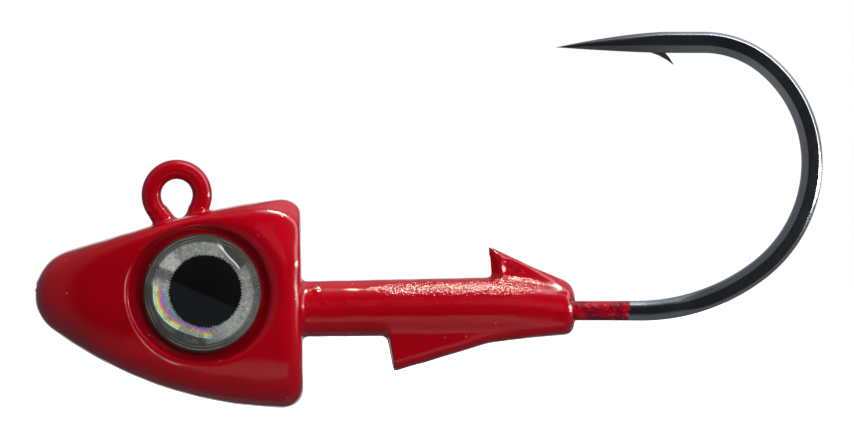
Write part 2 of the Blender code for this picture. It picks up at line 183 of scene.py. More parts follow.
def lacquerShader(g, place):
    x, y, z = g.parts(place)
    cloud = g.noise(place, 160.0, 3.0)
    grain = g.noise(place, 6500.0, 2.0, 0.6)
    colour = g.mix(((cloud - 0.35) * 1.6).clamp(), lacquer["deep"], lacquer["thin"])
    colour = g.mix(grain.rise(0.42, 0.70) * 0.30, colour, lacquer["thickTintAndShade"])
    # painted shade: darker on the cheek ahead of the eye, and darker on the wire loop
    cheekShade = x.within(*lacquer["cheekX"]) * z.within(*lacquer["cheekZ"])
    loop = z.rise(-0.0014, -0.0004) * x.rise(0.004, 0.003) * 0.45
    colour = g.mix((cheekShade + loop).clamp(), colour, lacquer["thickTintAndShade"])
    # painted shade: darker in the socket round the eye, most below and ahead of it
    east = x - eye["x"] * mm
    north = z - eyeZ * mm
    away = (east * east + north * north) ** 0.5
    socketShadeMask = away.rise(0.0050, 0.0042) * (0.45 + (east * 0.75 + north * 0.66).rise(0.0030, -0.0020) * 0.45)
    colour = g.mix(socketShadeMask, colour, lacquer["socketShade"])
    # painted highlight: a pale line along the crisp lip of the socket, patchy and brightest at one glint
    lipX = x - socket["x"] * mm
    ahead = (lipX * cos(radians(30)) + north * sin(radians(30))).rise(-0.0029, -0.0040)
    lipAway = (lipX * lipX + north * north) ** 0.5 - lacquer["lipRadius"] - ahead * 0.00010
    lip = lipAway.maths("ABSOLUTE").rise(0.00008, 0.00002) * ahead
    patchy = g.noise(place, 330.0, 2.0).rise(0.36, 0.66) * 0.35
    glint = (x - lacquer["lipGlintX"]).maths("ABSOLUTE").rise(0.0009, 0.0002) * 0.5
    colour = g.mix((lip * (0.12 + patchy + glint)).clamp(), colour, lacquer["paleDustAndLipHighlight"])
    # on the thin shank the lacquer clotted
    shank = x.rise(0.0261, 0.0266) * z.rise(0.006, 0.005)
    clot = g.noise(place, 1500.0, 3.0, 0.6).rise(0.42, 0.60) * shank
    colour = g.mix(clot * 0.85, colour, lacquer["clotted"])
    peel = g.noise(place, lacquer["peelScale"], 2.0)
    # dust caught in the wet lacquer: small pale pimples, few and far between
    speck = g.node("ShaderNodeTexVoronoi", {}, {"Vector": place, "Scale": lacquer["dustScale"]}, "Distance")
    chance = g.noise(place, 310.0, 0.0).rise(0.46, 0.56)
    pimple = speck.rise(0.10, 0.03) * chance
    colour = g.mix(pimple * 0.30, colour, lacquer["paleDustAndLipHighlight"])
    # a coarse stretch along the upper side of the collar, where the lacquer went on dry
    dry = x.within(*lacquer["dryX"]) * z.within(*lacquer["dryZ"]) + shank * 0.35
    coarse = g.noise(place, 4600.0, 2.0, 0.6)
    height = peel * 0.5 + pimple * 1.6 + coarse * dry * 9.0 + grain * 0.12 + clot * 3.0
    bump = g.bump(height, lacquer["peelHeight"])
    rough = lacquer["roughness"] + grain * 0.03 + dry * 0.02
    inputs = {"Base Color": colour, "Roughness": rough, "Normal": bump, "Specular IOR Level": 0.38}
    return g.node("ShaderNodeBsdfPrincipled", {}, inputs)


def makeLacquer():
    made, g = newMaterial("redLacquer")
    g.finish(lacquerShader(g, objectPlace(g)))
    return made


plating = {
    "colour": (0.47, 0.51, 0.55, 1),
    "worn": (0.72, 0.74, 0.66, 1),
    "ground": (0.20, 0.19, 0.20, 1),
    "roughness": 0.22,
    "paintEnd": 0.0302,
    "paintRagged": 0.0009,
}


def makePlating():
    made, g = newMaterial("blackNickel")
    place = objectPlace(g)
    x, y, z = g.parts(place)
    cloud = g.noise(place, 420.0, 3.0)
    grind = g.noise(place, 2300.0, 3.0, 0.6)
    colour = g.mix(((cloud - 0.4) * 1.2).clamp(), plating["colour"], plating["worn"])
    # the needle-ground point is darker and duller than the bend
    ground = x.rise(0.0350, 0.0295) * z.rise(0.005, 0.007)
    colour = g.mix(ground * 0.75, colour, plating["ground"])
    bump = g.bump(grind, 0.000012)
    rough = plating["roughness"] + (cloud - 0.5) * 0.12 + ground * 0.16
    inputs = {"Base Color": colour, "Metallic": 1.0, "Roughness": rough, "Normal": bump}
    metal = g.node("ShaderNodeBsdfPrincipled", {}, inputs)
    # the lacquer ends on the shank in a ragged edge
    edge = (g.noise(place, 620.0, 3.0, 0.65) - 0.5) * plating["paintRagged"]
    shank = (x + edge - plating["paintEnd"]).rise(0.0001, -0.0001) * z.rise(0.006, 0.005)
    g.finish(g.blendShaders(shank, metal, lacquerShader(g, place)))
    return made


def softMin(a, b, k):
    h = np.clip(0.5 + 0.5 * (b - a) / k, 0, 1)
    return b + (a - b) * h - k * h * (1 - h)


def softMax(a, b, k):
    return -softMin(-a, -b, k)


def smooth(value, start, end):
    t = np.clip((value - start) / (end - start), 0, 1)
    return t * t * (3 - 2 * t)


def wrapField(field, low, high, cell):
    # one vertex in each cell that the surface crosses, one quad across each grid line that it cuts
    axes = [np.arange(low[i], high[i] + cell, cell) for i in range(3)]
    grid = np.meshgrid(*axes, indexing="ij")
    values = field(*grid)
    inside = values < 0
    size = [n - 1 for n in inside.shape]
    corners = [(i, j, k) for i in (0, 1) for j in (0, 1) for k in (0, 1)]

    def at(array, c):
        return array[c[0] : c[0] + size[0], c[1] : c[1] + size[1], c[2] : c[2] + size[2]]

    total = sum(at(inside, c).astype(np.int8) for c in corners)
    crossed = (total > 0) & (total < 8)
    number = np.full(crossed.shape, -1, dtype=np.int64)
    number[crossed] = np.arange(crossed.sum())
    cells = np.argwhere(crossed).astype(float)
    sums = np.zeros_like(cells)
    counts = np.zeros(len(cells))
    for a in corners:
        for axis in range(3):
            if a[axis]:
                continue
            b = tuple(c + (i == axis) for i, c in enumerate(a))
            va = at(values, a)[crossed]
            vb = at(values, b)[crossed]
            cut = (va < 0) != (vb < 0)
            share = np.where(cut, va / np.where(cut, va - vb, 1), 0)
            point = cells + a
            point[:, axis] += share
            sums += point * cut[:, None]
            counts += cut
    verts = np.array(low) + cell * sums / counts[:, None]
    quads = []
    for axis in range(3):
        one, two = [i for i in range(3) if i != axis]
        first = np.take(inside, range(inside.shape[axis] - 1), axis)
        second = np.take(inside, range(1, inside.shape[axis]), axis)
        for leaving in (True, False):
            edges = np.argwhere((first & ~second) if leaving else (~first & second))
            edges = edges[(edges[:, one] > 0) & (edges[:, two] > 0)]
            around = []
            for da, db in ((0, 0), (1, 0), (1, 1), (0, 1)):
                spot = edges.copy()
                spot[:, one] -= da
                spot[:, two] -= db
                around.append(number[spot[:, 0], spot[:, 1], spot[:, 2]])
            turn = np.array(around).T
            if leaving == (axis == 1):
                turn = turn[:, ::-1]
            quads.append(turn)
    return verts, np.vstack(quads)


def slopeOf(field, points, step=0.01):
    slope = np.zeros_like(points)
    for axis in range(3):
        shift = np.zeros(3)
        shift[axis] = step
        slope[:, axis] = (field(*(points + shift).T) - field(*(points - shift).T)) / (2 * step)
    return slope


def settle(field, points, cell, rounds):
    for _ in range(rounds):
        slope = slopeOf(field, points)
        steep = np.maximum((slope**2).sum(1), 0.04)
        move = slope * (field(*points.T) / steep)[:, None]
        length = np.sqrt((move**2).sum(1))
        points = points - move * np.minimum(1, 0.5 * cell / np.maximum(length, 1e-9))[:, None]
    return points


def relax(points, quads, share):
    edges = np.vstack([quads[:, [i, (i + 1) % 4]] for i in range(4)])
    sums = np.zeros_like(points)
    np.add.at(sums, edges[:, 0], points[edges[:, 1]])
    np.add.at(sums, edges[:, 1], points[edges[:, 0]])
    counts = np.bincount(edges.ravel(), minlength=len(points))[:, None]
    return points + share * (sums / counts - points)


def addMesh(name, verts, faces, material, sharp=None):
    mesh = bpy.data.meshes.new(name)
    mesh.from_pydata([tuple(v) for v in verts], [], [tuple(f) for f in faces])
    mesh.update()
    mesh.shade_smooth()
    if sharp:
        mesh.set_sharp_from_angle(angle=radians(sharp))
    mesh.materials.append(material)
    made = bpy.data.objects.new(name, mesh)
    bpy.context.scene.collection.objects.link(made)
    return made


def ringFaces(rings, sides, flip=False):
    # quads between rings of points that follow each other
    faces = []
    for a in range(0, (rings - 1) * sides, sides):
        for k in range(sides):
            n = (k + 1) % sides
            faces.append((a + k, a + n, a + sides + n, a + sides + k))
    return [face[:1] + face[:0:-1] for face in faces] if flip else faces


def placePiece(piece, nodes):
    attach(piece, "root")
    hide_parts(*nodes)


wire = {
    "radius": 0.65,
    "eyeRadius": 1.70,
    "freeSlope": radians(50),
    "freeLength": 0.80,
    "freeBend": 0.90,
    "freeEnd": 0.80,
    "mainSlope": radians(71),
    "mainLength": 1.25,
    "mainBend": 1.50,
    "elbow": 2.30,
    "shankDrop": 7.73,
    "bendStart": 30.80,
    "bends": ((13.20, 37), (9.05, 53), (8.45, 50), (6.55, 40)),
    "arm": 2.40,
    "pointLength": 7.45,
    "pointDrop": 0.33,
    "forgedHeight": 0.71,
    "forgedWidth": 0.52,
    "forgeLead": 1.5,  # the round wire turns flat from here behind the collar
    "forgeTail": 5.0,  # to here past the start of the bend
    "bevelFrom": 0.26,  # share of the half height where the wide inner bevel starts
    "bevelEdge": 0.30,
    "softEdge": 0.05,
    "tip": 0.012,
    "pointRings": 40,
}


class Walk:
    # a flat path in the hook plane, made of straight lines and arcs that run on from each other
    def __init__(self, x, z, heading):
        self.x = x
        self.z = z
        self.heading = heading
        self.points = [(x, z)]

    def step(self, distance, heading):
        self.x += distance * cos(heading)
        self.z += distance * sin(heading)
        self.points.append((self.x, self.z))

    def line(self, length, pieces=1):
        for _ in range(pieces):
            self.step(length / pieces, self.heading)
        return self

    def arc(self, radius, turn, pitch=radians(4)):
        count = max(2, round(abs(turn) / pitch))
        part = turn / count
        for _ in range(count):
            self.step(2 * radius * sin(abs(part) / 2), self.heading + part / 2)
            self.heading += part
        return self


loopStart = radians(270) - wire["freeSlope"]
loopEnd = wire["mainSlope"] - radians(90)


def freeLeg():
    eye = wire["eyeRadius"]
    walk = Walk(eye * cos(loopStart), eye * sin(loopStart), -wire["freeSlope"])
    walk.line(wire["freeLength"], 3).arc(wire["freeBend"], wire["freeSlope"] - radians(90))
    return walk.line(wire["freeEnd"], 2)


def wireRoute():
    leg = freeLeg()
    loop = Walk(*leg.points[0], pi - wire["freeSlope"])
    loop.arc(wire["eyeRadius"], loopEnd - loopStart)
    main = Walk(loop.x, loop.z, wire["mainSlope"] - pi)
    main.line(wire["mainLength"], 3).arc(wire["mainBend"], radians(90) - wire["mainSlope"])
    main.line(main.z + wire["shankDrop"] - wire["elbow"], 4).arc(wire["elbow"], radians(90))
    main.line(wire["bendStart"] - main.x, 60)
    for radius, turn in wire["bends"]:
        main.arc(radius, radians(turn), radians(1.5))
    main.line(wire["arm"], 6)
    return leg.points[::-1] + loop.points[1:], main.points[1:]


casting = {
    "rearX": 8.35,
    "length": 17.75,
    "eyeStand": 1.61,
    "noseRadius": 3.13,
    "chinRadius": 2.75,
    "slope": radians(16.7),
    "brow": 7.63,
    "backRadius": 50.0,
    "bellyDepth": 7.45,
    "halfThickness": 4.50,
    "taper": tan(radians(4)),
    "planLength": 4.2,
    "rearEdge": 0.75,
    "rearRound": 1.60,
    "cornerRound": 2.0,
    "rearLean": 0.0195,
    "snout": 2.3,  # how square the section is at the snout, over the crown and at the belly
    "crown": 6.0,
    "belly": 2.6,
    "squareFrom": 1.0,
    "squareTo": 7.5,
    "recess": 0.17,
    "coat": 0.015,
    "wave": 0.008,
    "seam": 0.03,
    "seamWidth": 0.15,
    "cell": 0.12,
}
socket = {"x": 1.60, "rise": 0.20, "depth": 0.97, "radius": 4.46, "slant": 0.62, "hollow": 0.26}
socket.update({"lip": 0.21, "softLip": 0.70, "closer": 0.26})
collar = {"radius": 1.82, "middle": 1.90, "end": 1.58, "drop": 7.62, "middleDrop": 7.43, "endDrop": 7.64}
collar.update({"middleX": 21.05, "endX": 26.50, "endRound": 0.95, "fillet": 0.45})
upperKeeper = {"x": 21.05, "up": 1, "height": 3.84, "lean": 0.12, "slope": tan(radians(24)), "sweep": 0.85}
upperKeeper.update({"base": 0.95, "edge": 0.64, "ridge": 0.60, "front": 0.14, "fillet": 0.34, "dish": 0.46})
lowerKeeper = {"x": 14.00, "up": -1, "height": 4.36, "lean": -0.20, "slope": tan(radians(16.6))}
lowerKeeper.update({"base": 1.35, "edge": 0.75, "ridge": 0.85, "front": 0.20, "fillet": 0.40, "dish": 0.0})
lowerKeeper.update({"sweep": 0.15, "tail": 3.16, "tailSlope": tan(radians(7.1))})

noseX = casting["rearX"] - casting["length"]


def topHeight(along):
    c = casting
    browStart = c["noseRadius"] * (1 - sin(c["slope"]))
    if along < browStart:
        return sqrt(max(0.0, c["noseRadius"] ** 2 - (c["noseRadius"] - along) ** 2))
    height = c["noseRadius"] * cos(c["slope"]) + (min(along, c["brow"]) - browStart) * tan(c["slope"])
    if along > c["brow"]:
        ahead = c["backRadius"] * sin(c["slope"]) - (along - c["brow"])
        height += sqrt(c["backRadius"] ** 2 - ahead**2) - c["backRadius"] * cos(c["slope"])
    return height


def bellyDepth(along):
    c = casting
    lowPoint = c["length"] - c["rearEdge"]
    reach = lowPoint - c["chinRadius"]
    arc = reach**2 + c["bellyDepth"] ** 2 - c["chinRadius"] ** 2
    arc /= 2 * (c["bellyDepth"] - c["chinRadius"])
    touch = c["chinRadius"] - c["chinRadius"] * reach / (arc - c["chinRadius"])
    if along < touch:
        return sqrt(max(0.0, c["chinRadius"] ** 2 - (c["chinRadius"] - along) ** 2))
    return sqrt(arc**2 - max(0.0, lowPoint - along) ** 2) - arc + c["bellyDepth"]


def halfThickness(along):
    c = casting
    plan = sqrt(1 - (1 - min(1.0, along / c["planLength"])) ** 2)
    return (c["halfThickness"] - (c["length"] - along) * c["taper"]) * plan


noseDrop = topHeight(-noseX) + casting["eyeStand"]
# places along the head, crowded at the snout
stations = np.linspace(0, 1, 400) ** 2 * 2
stations = np.concatenate([stations, np.linspace(2.01, casting["length"] + 1.5, 600)])
tops = np.array([max(topHeight(a), 0.02) for a in stations])
bellies = np.array([max(bellyDepth(a), 0.02) for a in stations])
widths = np.array([max(halfThickness(a), 0.02) for a in stations])


def headField(x, y, z):
    along = x - noseX
    up = z + noseDrop
    side = np.abs(y)
    top = np.interp(along, stations, tops)
    belly = np.interp(along, stations, bellies)
    wide = np.interp(along, stations, widths)
    topGrow = np.interp(along, stations, np.gradient(tops, stations))
    bellyGrow = np.interp(along, stations, np.gradient(bellies, stations))
    wideGrow = np.interp(along, stations, np.gradient(widths, stations))
    high = up > 0
    tall = np.where(high, top, belly)
    tallGrow = np.where(high, topGrow, bellyGrow)
    bodied = smooth(along, casting["squareFrom"], casting["squareTo"])
    power = casting["snout"] + bodied * (casting["belly"] - casting["snout"])
    power = power + bodied * (casting["crown"] - casting["belly"]) * smooth(up / top, 0.05, 0.65)
    s = np.abs(up) / tall
    t = side / wide
    sp = s ** (power - 1)
    tp = t ** (power - 1)
    total = sp * s + tp * t
    gz = power * sp / tall
    gy = power * tp / wide
    gx = power * (sp * s * tallGrow / tall + tp * t * wideGrow / wide)
    distance = (total - 1) / np.maximum(np.sqrt(gx**2 + gy**2 + gz**2), 0.2)
    distance = np.clip(distance, -3, 3)
    distance = np.where(along < 0.0, np.maximum(distance, -along + 0.02), distance)
    rear = x - (casting["rearX"] - casting["recess"] - casting["rearLean"] * z)
    # the flanks round off wider where they meet the rear face near the top
    corner = casting["cornerRound"] * smooth(z, -4.8, -1.6) * smooth(side, 1.4, 3.2)
    return softMax(distance, rear, casting["rearRound"] + corner)


def alongCollar(x, atHead, atMiddle, atEnd):
    swell = (np.minimum(x, collar["middleX"]) - casting["rearX"]) / (collar["middleX"] - casting["rearX"])
    shrink = smooth(x, collar["middleX"], collar["endX"])
    return atHead + (atMiddle - atHead) * swell + (atEnd - atMiddle) * shrink


def collarField(x, y, z):
    drop = alongCollar(x, collar["drop"], collar["middleDrop"], collar["endDrop"])
    radius = alongCollar(x, collar["radius"], collar["middle"], collar["end"])
    tube = np.sqrt(y**2 + (z + drop) ** 2) - radius
    tube = softMax(tube, x - collar["endX"], collar["endRound"])
    return np.maximum(tube, casting["rearX"] - 2.0 - x)


def keeperField(x, y, z, k):
    drop = float(alongCollar(np.float64(k["x"]), collar["drop"], collar["middleDrop"], collar["endDrop"]))
    rise = k["up"] * (z + drop)
    along = x - k["x"]
    side = np.abs(y)
    ridgeLine = k["height"] - along * k["slope"]
    if "tail" in k:
        ridgeLine = softMax(ridgeLine, k["tail"] - along * k["tailSlope"], 0.08)
    ridge = (rise - ridgeLine) * cos(np.arctan(k["slope"]))
    front = -along - k["lean"] * (rise - collar["radius"]) + side * k["sweep"]
    front = front / sqrt(1 + k["sweep"] ** 2)
    share = np.clip((rise - 1.0) / (k["height"] - 1.0), 0, 1)
    hollow = k["dish"] * np.sin(pi * share) * smooth(along, 0.2, 1.2)
    flank = side - (k["base"] + (k["edge"] - k["base"]) * share - hollow)
    body = softMax(flank, ridge, k["ridge"])
    body = softMax(body, front, k["front"])
    body = softMax(body, x - collar["endX"] + 0.3, 0.5)
    return np.maximum(body, 0.4 - rise)


def socketField(x, y, z):
    along = socket["x"] - noseX
    floor = halfThickness(along) - socket["depth"]
    away = np.sqrt((x - socket["x"]) ** 2 + (z + noseDrop - socket["rise"]) ** 2)
    side = np.abs(y)
    # the lip is crisp below and ahead of the eye, and rolls off softly, closer in, above and behind it
    behind = smooth(((x - socket["x"]) * 0.75 + (z + noseDrop) * 0.66) / np.maximum(away, 0.1), -0.35, 0.9)
    radius = socket["radius"] - socket["closer"] * behind
    wall = (away - radius - socket["slant"] * (side - floor)) / sqrt(1 + socket["slant"] ** 2)
    lip = socket["lip"] + (socket["softLip"] - socket["lip"]) * behind
    return softMax(wall, floor - side, socket["hollow"]), lip


def legField(x, y, z, a, b, radius):
    # a round bar from a to b in the hook plane
    ax, az = a
    bx, bz = b
    length2 = (bx - ax) ** 2 + (bz - az) ** 2
    share = np.clip(((x - ax) * (bx - ax) + (z - az) * (bz - az)) / length2, 0, 1)
    return np.sqrt((x - ax - share * (bx - ax)) ** 2 + y**2 + (z - az - share * (bz - az)) ** 2) - radius


# places where the lacquer stands proud, or pits, on the left side: x, z, reach, height
lumps = [(-0.92, -1.56, 0.13, 0.10), (1.72, -0.92, 0.11, 0.08), (9.88, -7.14, 0.10, 0.07)]
lumps += [(11.35, -7.08, 0.10, 0.07), (25.02, -7.88, 0.10, 0.07), (25.68, -7.81, 0.10, 0.08)]
lumps += [(26.38, -7.01, 0.14, -0.12), (26.30, -8.80, 0.11, -0.08), (-3.15, -8.10, 0.14, 0.07)]
lumps += [(-6.60, -8.90, 0.09, 0.03), (3.40, -12.1, 0.08, 0.04), (22.85, -5.00, 0.10, 0.09)]
# a drip at the root of the collar, drawn as short strokes
drips = [(9.05, -6.15, 9.40, -6.12), (9.05, -6.15, 9.10, -6.30)]
drips += [(9.10, -6.30, 9.38, -6.38), (9.38, -6.38, 9.30, -6.55)]
dripSize = {"x": 9.2, "z": -6.3, "reach": 0.7, "height": 0.07, "width": 0.09}


def lumpField(x, y, z):
    rise = np.zeros_like(x)
    for lx, lz, reach, height in lumps:
        near = (np.abs(x - lx) < 4 * reach) & (np.abs(z - lz) < 4 * reach)
        away = (x[near] - lx) ** 2 + (z[near] - lz) ** 2
        rise[near] += height * np.exp(-away / reach**2)
    d = dripSize
    near = (np.abs(x - d["x"]) < d["reach"]) & (np.abs(z - d["z"]) < d["reach"])
    stroke = np.full(near.sum(), 9.0)
    for ax, az, bx, bz in drips:
        stroke = np.minimum(stroke, legField(x[near], 0, z[near], (ax, az), (bx, bz), 0))
    rise[near] += d["height"] * np.exp(-((stroke / d["width"]) ** 2))
    return rise * (y < 0)


def castingField(x, y, z):
    head = headField(x, y, z)
    well, lip = socketField(x, y, z)
    head = softMax(head, -well, lip)
    body = softMin(head, collarField(x, y, z), collar["fillet"])
    for k in (upperKeeper, lowerKeeper):
        body = softMin(body, keeperField(x, y, z, k), k["fillet"])
    # lacquer creeps up the two legs of the wire and round the shank
    coat = wire["radius"] + casting["coat"]
    body = softMin(body, legField(x, y, z, (-1.18, -1.24), (-0.72, -1.85), coat), 0.30)
    body = softMin(body, legField(x, y, z, (1.44, -1.05), (1.17, -1.85), coat), 0.30)
    shank = -wire["shankDrop"]
    body = softMin(body, legField(x, y, z, (24.0, shank), (26.25, shank), coat), 0.20)
    # the cast surface is not quite true
    wave = np.sin(1.9 * x + 0.7) * np.sin(2.3 * z - 0.4)
    wave = wave + 0.6 * np.sin(3.7 * x - 1.1 * z) * np.sin(2.9 * y + 0.5 * x)
    # the two halves of the mould leave a faint seam under the lacquer
    seam = casting["seam"] * np.exp(-((y / casting["seamWidth"]) ** 2))
    return body + casting["wave"] * wave - seam - lumpField(x, y, z)


def makeCasting(material):
    cell = casting["cell"]
    # a box of cells that holds the whole casting clear of its sides
    low = (noseX - 0.36, -5.04, -14.9)
    high = (collar["endX"] + 0.5, 5.04, 0.6)
    points, quads = wrapField(castingField, low, high, cell)
    points = settle(castingField, points, cell, 3)
    for _ in range(3):
        points = relax(points, quads, 0.5)
        points = settle(castingField, points, cell, 2)
    piece = addMesh("paintedCasting", points * mm, quads.tolist(), material)
    placePiece(piece, ["head_casting"])
    print("casting:", len(points), "vertices")
    return piece


# heights across a forged section, crowded where the flat turns into its two bevels
forgedSteps = (-1, -0.985, -0.94, -0.88, -0.80, -0.735, -0.69, -0.65, -0.60, -0.30, 0.0, 0.15, 0.21)
forgedSteps += (0.26, 0.31, 0.37, 0.55, 0.72, 0.84, 0.93, 0.98, 1)


def sectionRing(centre, along, height, width, forged):
    # round wire has forged 0; 1 has a flat on each side, a narrow outer bevel and a wide inner one
    count = len(forgedSteps)
    half = []
    for i, step in enumerate(forgedSteps):
        up = (1 - forged) * -cos(pi * i / (count - 1)) + forged * step
        round_ = height * sqrt(max(0.0, 1 - up * up))
        flat = width + (1 - forged) * height
        share = (up - wire["bevelFrom"]) / (1 - wire["bevelFrom"])
        bevel = width - share * (width - wire["bevelEdge"] * height) + (1 - forged) * height
        soft = wire["softEdge"] * height
        side = float(softMin(softMin(round_, flat, soft), bevel, soft))
        half.append((up * height, max(side, 0.0) if 0 < i < count - 1 else 0.0))
    ring = [(up, side) for up, side in half] + [(up, -side) for up, side in half[-2:0:-1]]
    return [(centre[0] - along.y * up, side, centre[1] + along.x * up) for up, side in ring]


def tubeMesh(points, heights, widths, forging):
    verts = []
    sides = 2 * len(forgedSteps) - 2
    for i, (x, z) in enumerate(points):
        before = points[max(i - 1, 0)]
        after = points[min(i + 1, len(points) - 1)]
        along = Vector((after[0] - before[0], after[1] - before[1])).normalized()
        verts += sectionRing((x, z), along, heights[i], widths[i], forging[i])
    faces = ringFaces(len(points), sides, True)
    faces.append(tuple(range(sides)))
    last = (len(points) - 1) * sides
    faces.append(tuple(range(last + sides - 1, last - 1, -1)))
    return verts, faces


def makeHook(material):
    early, late = wireRoute()
    points = early + late
    heights = []
    widths = []
    forging = []
    for x, z in points:
        forged = float(smooth(x, collar["endX"] + wire["forgeLead"], wire["bendStart"] + wire["forgeTail"]))
        if z > 0 and x > collar["endX"]:
            forged = 1.0
        heights.append(wire["radius"] + (wire["forgedHeight"] - wire["radius"]) * forged)
        widths.append(wire["radius"] + (wire["forgedWidth"] - wire["radius"]) * forged)
        forging.append(forged)
    armX, armZ = points[-1]
    for i in range(1, wire["pointRings"] + 1):
        left = (1 - i / wire["pointRings"]) ** 1.5
        drop = wire["pointDrop"] * (1 - left) ** 1.6
        points.append((armX - wire["pointLength"] * (1 - left), armZ - drop))
        share = 1 - (1 - left) ** 1.5
        heights.append(max(wire["tip"], wire["forgedHeight"] * share))
        widths.append(max(wire["tip"], wire["forgedWidth"] * min(1.0, 1.25 * share)))
        forging.append(1.0)
    verts, faces = tubeMesh(points, heights, widths, forging)
    tipX = points[-1][0]
    barbVerts, barbFaces = barbMesh(tipX, armZ)
    start = len(verts)
    verts += barbVerts
    faces += [tuple(start + i for i in face) for face in barbFaces]
    piece = addMesh("platedHook", [tuple(c * mm for c in v) for v in verts], faces, material, 50)
    placePiece(piece, ["hook"])
    print("hook:", len(verts), "vertices")
    return piece


barb = {"length": 1.55, "rise": 0.98, "fromTip": 6.30, "halfWidth": 0.30}


def barbMesh(tipX, armZ):
    root = tipX + barb["fromTip"]
    long = barb["length"]
    rise = barb["rise"]
    under = armZ - wire["forgedHeight"]
    outer = [(root - 0.7 * long, armZ - 0.45), (root - 0.1 * long, under + 0.10)]
    outer += [(root + 0.35 * long, under - 0.16 * rise), (root + 0.70 * long, under - 0.46 * rise)]
    outer += [(root + long, under - 0.80 * rise)]
    inner = [(root - 0.1 * long, armZ), (root + 0.35 * long, armZ - 0.2)]
    inner += [(root + 0.62 * long, under + 0.05), (root + 0.80 * long, under - 0.27 * rise)]
    inner += [(root + long + 0.02, under - 0.78 * rise)]
    verts = []
    for i, (low, high) in enumerate(zip(outer, inner)):
        width = barb["halfWidth"] * (1 - 0.9 * (i / 4) ** 1.3)
        middle = ((low[0] + high[0]) / 2, (low[1] + high[1]) / 2)
        verts += [(high[0], -width * 0.8, high[1]), (high[0], width * 0.8, high[1])]
        verts += [(middle[0], width, middle[1]), (low[0], 0.35 * width, low[1])]
        verts += [(low[0], -0.35 * width, low[1]), (middle[0], -width, middle[1])]
    faces = ringFaces(len(outer), 6)
    faces.append((5, 4, 3, 2, 1, 0))
    faces.append(tuple(range(len(verts) - 6, len(verts))))
    return verts, faces


eye = {"x": 1.75, "z": 0.20, "radius": 4.00, "edge": 0.45, "rise": 1.45, "foil": 3.90, "sides": 128}
eye.update({"pupil": 2.40, "pupilX": 0.20, "pupilZ": 0.13, "teeth": 74, "toothDepth": 0.15})
eye.update({"padThick": 0.40, "foilThick": 0.12, "inkThick": 0.06, "gap": 0.05})
eye.update({"roll": 0.12, "round": 0.10})
eyeZ = eye["z"] - noseDrop


def lathe(profile, x, z, sides, side):
    # turns (radius, y) round an axis along Y; the first and last points lie on the axis
    verts = []
    inner = profile[1:-1]
    for radius, y in inner:
        for k in range(sides):
            angle = 2 * pi * k / sides
            verts.append((x + radius * cos(angle), y * side, z - side * radius * sin(angle)))
    faces = ringFaces(len(inner), sides)
    verts.append((x, profile[0][1] * side, z))
    verts.append((x, profile[-1][1] * side, z))
    low = len(verts) - 2
    last = (len(inner) - 1) * sides
    for k in range(sides):
        n = (k + 1) % sides
        faces.append((low, n, k))
        faces.append((low + 1, last + k, last + n))
    return [tuple(c * mm for c in v) for v in verts], faces


def domeProfile(low):
    r = eye["radius"]
    roll = eye["roll"]
    ball = (r**2 + eye["rise"] ** 2) / (2 * eye["rise"])
    top = low + eye["edge"]
    spread = np.arcsin(r / ball)
    points = [(0.0, low), (r - eye["round"], low), (r, low + eye["round"]), (r, top - roll)]
    # the poured resin turns over its edge in a soft roll
    for i in range(1, 8):
        turn = spread + (pi / 2 - spread) * (1 - i / 7)
        points.append((r - roll * (1 - sin(turn) + 0.1 * i), top - roll + 0.14 * cos(turn)))
    edgeR, edgeY = points[-1]
    for i in range(1, 28):
        angle = spread * (1 - i / 27.3)
        share = ball * sin(angle) / r
        points.append((edgeR * share, edgeY + ball * cos(angle) - ball * cos(spread)))
    points.append((0.0, edgeY + ball - ball * cos(spread)))
    return points


def pupilMesh(low, side):
    rng = np.random.default_rng(7)
    count = eye["teeth"] * 2
    cuts = rng.uniform(0.45, 1.25, count)
    verts = []
    for level in (low, low + eye["inkThick"]):
        for k in range(count):
            angle = 2 * pi * k / count
            tooth = eye["toothDepth"] * (0.5 if k % 2 else -0.5) * cuts[k]
            radius = eye["pupil"] + tooth
            x = eye["x"] + eye["pupilX"] + radius * cos(angle)
            z = eyeZ + eye["pupilZ"] + radius * sin(angle)
            verts.append((x * mm, level * side * mm, z * mm))
    faces = ringFaces(2, count, side > 0)
    back = tuple(range(count))
    front = tuple(range(count, 2 * count))
    faces.append(back if side > 0 else back[::-1])
    faces.append(front[::-1] if side > 0 else front)
    return verts, faces


# painted reflection: brightness of the film round the eye, from the nose side down, back and over the top
filmReflectionShades = [(0.0, 0.34), (0.06, 0.28), (0.16, 0.24), (0.28, 0.22), (0.36, 0.36), (0.46, 0.33)]
filmReflectionShades += [(0.53, 0.23), (0.565, 0.30), (0.60, 0.16), (0.66, 0.20), (0.70, 0.34), (0.76, 0.26)]
filmReflectionShades += [(0.84, 0.24), (0.862, 0.46), (0.905, 0.46), (0.915, 0.10), (0.945, 0.14)]
filmReflectionShades += [(0.965, 0.36), (1.0, 0.34)]
# colours of the painted rainbow reflection, from its bowed edge inwards
rainbowReflection = [(0.0, (0.70, 0.90, 0.80)), (0.10, (0.25, 0.85, 0.45)), (0.20, (0.95, 0.85, 0.15))]
rainbowReflection += [(0.33, (0.95, 0.38, 0.10)), (0.46, (0.55, 0.16, 0.40)), (0.62, (0.20, 0.20, 0.70))]
rainbowReflection += [(0.80, (0.16, 0.34, 0.45)), (1.0, (0.25, 0.27, 0.26))]


